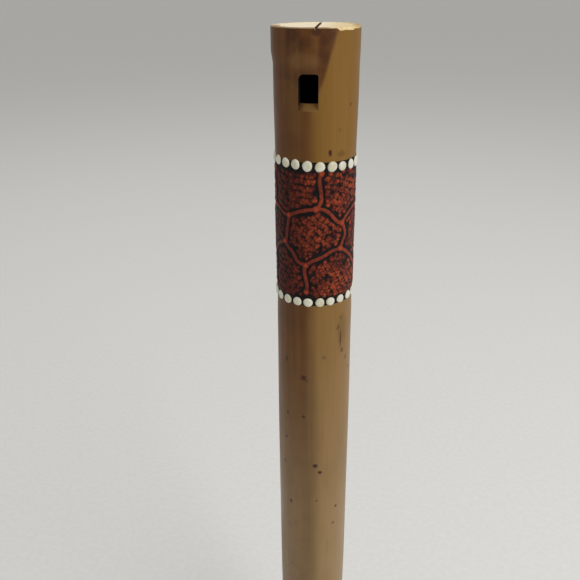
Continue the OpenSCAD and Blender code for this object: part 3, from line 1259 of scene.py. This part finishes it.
def make_stipple():
    """Small red dots in rows that fill the cells, up to a black border along each line."""
    chance = random.Random(7)
    finder = line_finder()
    verts, faces = [], []
    # the dots keep clear of both rows of white dots
    first, last = (TOP - UPPER_ROW) / MM + 2.1, (TOP - LOWER_ROW) / MM - 2.0
    border = 0.5 * LINE_WIDTH / MM + 0.95
    grid = [(row, column) for row in range(-21, 22) for column in range(-26, 27)]
    for cell in CELL_ROWS:
        turn, drop, lean = cell
        cosine, sine = math.cos(math.radians(lean)), math.sin(math.radians(lean))
        for row, column in grid:
            along = (column + 0.5 * (row % 2)) * DOT_PITCH + chance.uniform(-0.3, 0.3)
            across = row * ROW_PITCH + PAIRED * (-1) ** row + chance.uniform(-0.22, 0.22)
            size = chance.uniform(0.74, 1.02)
            tall = chance.uniform(0.1, 0.24) * MM
            stretch = chance.uniform(1.0, 1.15)
            tilt = chance.uniform(0, 180)
            place = Vector((
                round_mm(turn) + along * cosine - across * sine,
                drop + along * sine + across * cosine,
            ))
            missing = chance.random() < 0.05 or waver(place.x, place.y, 3, 1.7) > 0.4
            if missing or not first < place.y < last or cell_of(place) != cell:
                continue
            distance = finder.find(on_coat(place.x, place.y, 0.0))[2] / MM
            if distance < border + chance.uniform(-0.12, 0.15):
                continue
            add_blob(
                verts, faces, place, size, tall, 8, 3,
                lean=tilt, stretch=stretch, seed=size * 40, slope=1.3,
            )
    stipple = make_piece("red_stipple", verts, faces, [RED_DOT])
    settle(stipple, 80, "tube", "red_paint")


def make_dot_row(name, height, phase, drift, seed, node):
    """A row of white dots, each put on by hand a little out of line."""
    chance = random.Random(seed)
    verts, faces = [], []
    for k in range(DOT_COUNT):
        turn = phase + 360 * k / DOT_COUNT + chance.uniform(-0.8, 0.8)
        drop = (TOP - height) / MM + drift(turn) + chance.uniform(-0.08, 0.08)
        size = DOT_R / MM * chance.uniform(0.96, 1.04)
        tall = DOT_HEIGHT * chance.uniform(0.85, 1.0)
        tilt = chance.uniform(0, 180)
        stretch = chance.uniform(1.0, 1.03)
        add_blob(
            verts, faces, (round_mm(turn), drop), size, tall, 32, 10,
            lean=tilt, stretch=stretch, dimple=0.14, seed=chance.uniform(0, 6),
        )
    row = make_piece(name, verts, faces, [WHITE])
    settle(row, 80, "tube", "white_paint", node)


def upper_drift(turn):
    """How far the upper row runs out of line, in mm downwards."""
    return 0.36 * math.sin(math.radians(turn - 8)) + 0.18 * math.sin(math.radians(2 * turn - 20))


def lower_drift(turn):
    """The same for the lower row."""
    return -0.2 * math.sin(math.radians(turn - 10))


# ---------------------------------------------------------------- handle and plunger

HANDLE_JOINT = HANDLE_TOP * 0.62
HANDLE_SLIM = 0.2 * MM        # how much slimmer the handle's cane is away from its joint
ROD_JOINTS = (0.1, 0.175)     # heights of the rod's own two joints


def handle_radius(z):
    """The handle's cane swells into a ridge at its natural joint."""
    away = (z - HANDLE_JOINT) / MM
    ridge = 0.45 * math.exp(-(away / 0.8) ** 2) + 0.3 * math.exp(-((away - 2.6) / 0.9) ** 2)
    groove = 0.3 * math.exp(-((away - 1.3) / 0.55) ** 2)
    swell = 0.18 * math.exp(-(away / 6) ** 2)
    return HANDLE_R + (ridge - groove + swell) * MM - HANDLE_SLIM


def make_handle():
    """The bamboo sleeve of the handle, with its long edges rubbed round."""
    edge = 0.35 * MM
    chamfer = 0.1 * MM
    rows = 110
    face_r = HANDLE_R - HANDLE_SLIM - edge
    skin, sawn = 0, 1
    profile = [(CORE_R + chamfer, 0.0, sawn), (face_r, 0.0, sawn)]
    for k in range(rows + 1):
        z = edge + (HANDLE_TOP - 2 * edge) * k / rows
        profile.append((handle_radius(z), z, skin))
    profile += [(face_r, HANDLE_TOP, skin), (CORE_R + chamfer, HANDLE_TOP, sawn)]
    profile += [(CORE_R, HANDLE_TOP - chamfer, sawn), (CORE_R, chamfer, sawn)]

    def wobble(angle, z, radius):
        return 0.0 if radius < HANDLE_R - MM else 0.09 * MM * skin_waver(angle, z, radius, 8 * MM)

    materials = [HANDLE_SKIN, FOOT_CUT]
    handle = turned_solid("bamboo_handle", profile, materials, sides=144, wobble=wobble, hollow=True)
    settle(handle, 50, "plunger", "bamboo_handle", "handle_sleeve")


def make_rod():
    """The plunger's rod: a scraped bamboo stick, not quite straight-sided."""
    rows = 150
    end_r = ROD_R - 0.3 * MM
    bevel = 0.2 * MM
    profile = [(end_r, ROD_LOW, 0)]
    for k in range(rows + 1):
        z = ROD_LOW + bevel + (ROD_HIGH - ROD_LOW - 2 * bevel) * k / rows
        joint = sum(math.exp(-((z - height) / (1.5 * MM)) ** 2) for height in ROD_JOINTS)
        profile.append((ROD_R - 0.1 * MM + 0.08 * MM * joint, z, 0))
    profile.append((end_r, ROD_HIGH, 0))

    def wobble(angle, z, radius):
        return 0.06 * MM * (skin_waver(angle, z * 0.3, radius, 3 * MM) - 0.5)

    rod = turned_solid("bamboo_rod", profile, [ROD_BAMBOO], sides=48, wobble=wobble)
    settle(rod, 40, "plunger", "rod_bamboo", "plunger_rod")


def dress_nodes():
    """Materials for the CAD nodes that show as they are."""
    dress = {
        "guide_ring": GUIDE_WOOD,
        "guide_pegs": PEG_BAMBOO,
        "handle_core": CORE_WOOD,
        "handle_peg": PEG_BAMBOO,
        "piston_disc": PISTON_WOOD,
        "piston_washer": LEATHER,
        "piston_cap": PISTON_WOOD,
        "piston_nail": STEEL,
    }
    for node, material in dress.items():
        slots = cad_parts[node].data.materials
        slots.clear()
        slots.append(material)


# ---------------------------------------------------------------- stage

LIT_HEIGHT = 0.2    # height on the tube that the lights are aimed at


def make_stage():
    """A pale floor, two soft lights and the sky's fill."""
    floor = make_box("floor", (-30, -30, -0.02), (30, 30, 0), floor_paint())
    scene = bpy.context.scene
    world = bpy.data.worlds.new("studio")
    world.use_nodes = True
    sky = world.node_tree.nodes["Background"].inputs
    sky["Color"].default_value = srgb(230, 230, 228)
    sky["Strength"].default_value = 0.62
    scene.world = world
    scene.view_settings.view_transform = "Standard"
    soft_light("window_light", turn=62, climb=38, away=1.1, size=0.8, power=6.6)
    soft_light("top_light", turn=-150, climb=62, away=1.3, size=1.0, power=3.2)


def floor_paint():
    paint = Paint("floor_paper", roughness=0.9, specular=0.2)
    fibres = paint.noise(3 * MM, detail=3)
    paint.set("Base Color", paint.tint(srgb(226, 225, 222), srgb(230, 229, 226), fibres, 0.3, 0.7))
    paint.bump(fibres, 0.1 * MM, 0.2)
    return paint.material


def soft_light(name, turn, climb, away, size, power):
    """A round light at that turn and climb in degrees and that far away, aimed at the tube."""
    data = bpy.data.lights.new(name, "AREA")
    data.shape = "DISK"
    data.size = size
    data.energy = power
    light = show(data)
    target = Vector((0, 0, LIT_HEIGHT))
    rise = math.radians(climb)
    light.location = target + on_tube(turn, away * math.sin(rise), away * math.cos(rise))
    light.rotation_euler = (target - light.location).to_track_quat("-Z", "Y").to_euler()


def make_camera():
    """The camera stands close, a little right of the window and just above the mouth end."""
    data = bpy.data.cameras.new("camera")
    data.sensor_width = 36
    data.lens = 40.3
    data.clip_start = 0.01
    data.clip_end = 200
    camera = show(data)
    turn, rise, away = 10, 12.3 * MM, 196 * MM
    down, swing, roll = 25.8, 12.4, -0.62
    pose = Matrix.Translation(on_tube(turn, TOP + rise, away))
    for angle, axis in ((swing, "Z"), (90 - down, "X"), (roll, "Z")):
        pose @= Matrix.Rotation(math.radians(angle), 4, axis)
    camera.matrix_world = pose
    bpy.context.scene.camera = camera


# ---------------------------------------------------------------- assembly

crack = crack_cutter()
make_tube(crack)
make_block(crack)
discard(crack)
make_coat()
make_lines()
make_stipple()
make_dot_row("white_dots_upper", UPPER_ROW, -1, upper_drift, 11, "upper_dots")
make_dot_row("white_dots_lower", LOWER_ROW, 0.5, lower_drift, 12, "lower_dots")
make_handle()
make_rod()
dress_nodes()
make_stage()
make_camera()
